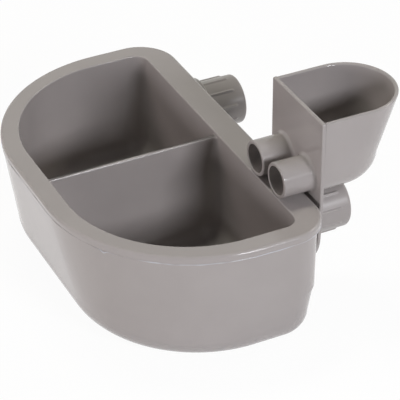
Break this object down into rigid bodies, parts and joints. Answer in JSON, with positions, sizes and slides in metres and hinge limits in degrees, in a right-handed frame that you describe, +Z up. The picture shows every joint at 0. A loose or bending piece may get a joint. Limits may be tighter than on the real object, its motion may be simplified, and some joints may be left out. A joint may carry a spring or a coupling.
{
  "type": "double kennel dog bowl",
  "caption": "D-shaped double pet bowl with a divider, clamped to kennel wire by knobs on studs, with a filling hopper whose tubes reach through the wire.",
  "frame": {"origin": "centre of the bowl's flat base, under the middle of the divider", "axes": "+Z up, +Y out through the flat back that faces the kennel wire, +X along the bowl towards the end with the hopper"},
  "size_m": [0.2458, 0.2112, 0.1342],
  "materials": {
    "bowl_plastic": "warm grey, satin gloss",
    "clamp_plastic": "warm grey, satin",
    "hopper_plastic": "warm grey, satin gloss"
  },
  "bodies": {
    "bowl": {"bowl_liner": "bowl_plastic", "outer_shell": "bowl_plastic", "stud_left": "clamp_plastic", "stud_right": "clamp_plastic"},
    "left_washer": {"washer_left": "clamp_plastic"},
    "left_knob": {"knob_left": "clamp_plastic"},
    "hopper": {"filler_hopper": "hopper_plastic"},
    "right_washer": {"washer_right": "clamp_plastic"},
    "right_knob": {"knob_right": "clamp_plastic"}
  },
  "joints": [
    {"name": "left_washer_slide", "type": "slide", "parent": "bowl", "child": "left_washer", "axis": [0, 1, 0], "range_m": [0, 0.018]},
    {"name": "left_knob_turn", "type": "hinge", "parent": "left_washer", "child": "left_knob", "pos_m": [-0.0675, 0.0798, 0.0545], "axis": [0, 1, 0], "range_deg": [0, 2160]},
    {"name": "hopper_slide", "type": "slide", "parent": "bowl", "child": "hopper", "axis": [0, 1, 0], "range_m": [0, 0.015]},
    {"name": "right_washer_slide", "type": "slide", "parent": "bowl", "child": "right_washer", "axis": [0, 1, 0], "range_m": [0, 0.015]},
    {"name": "right_knob_turn", "type": "hinge", "parent": "right_washer", "child": "right_knob", "pos_m": [0.0675, 0.082, 0.0545], "axis": [0, 1, 0], "range_deg": [0, 1800]}
  ],
  "couplings": [
    {"joint": "left_washer_slide", "follows": "left_knob_turn", "m_per_rad": 0.00047746},
    {"joint": "hopper_slide", "follows": "right_knob_turn", "m_per_rad": 0.00047746},
    {"joint": "right_washer_slide", "follows": "right_knob_turn", "m_per_rad": 0.00047746}
  ]
}
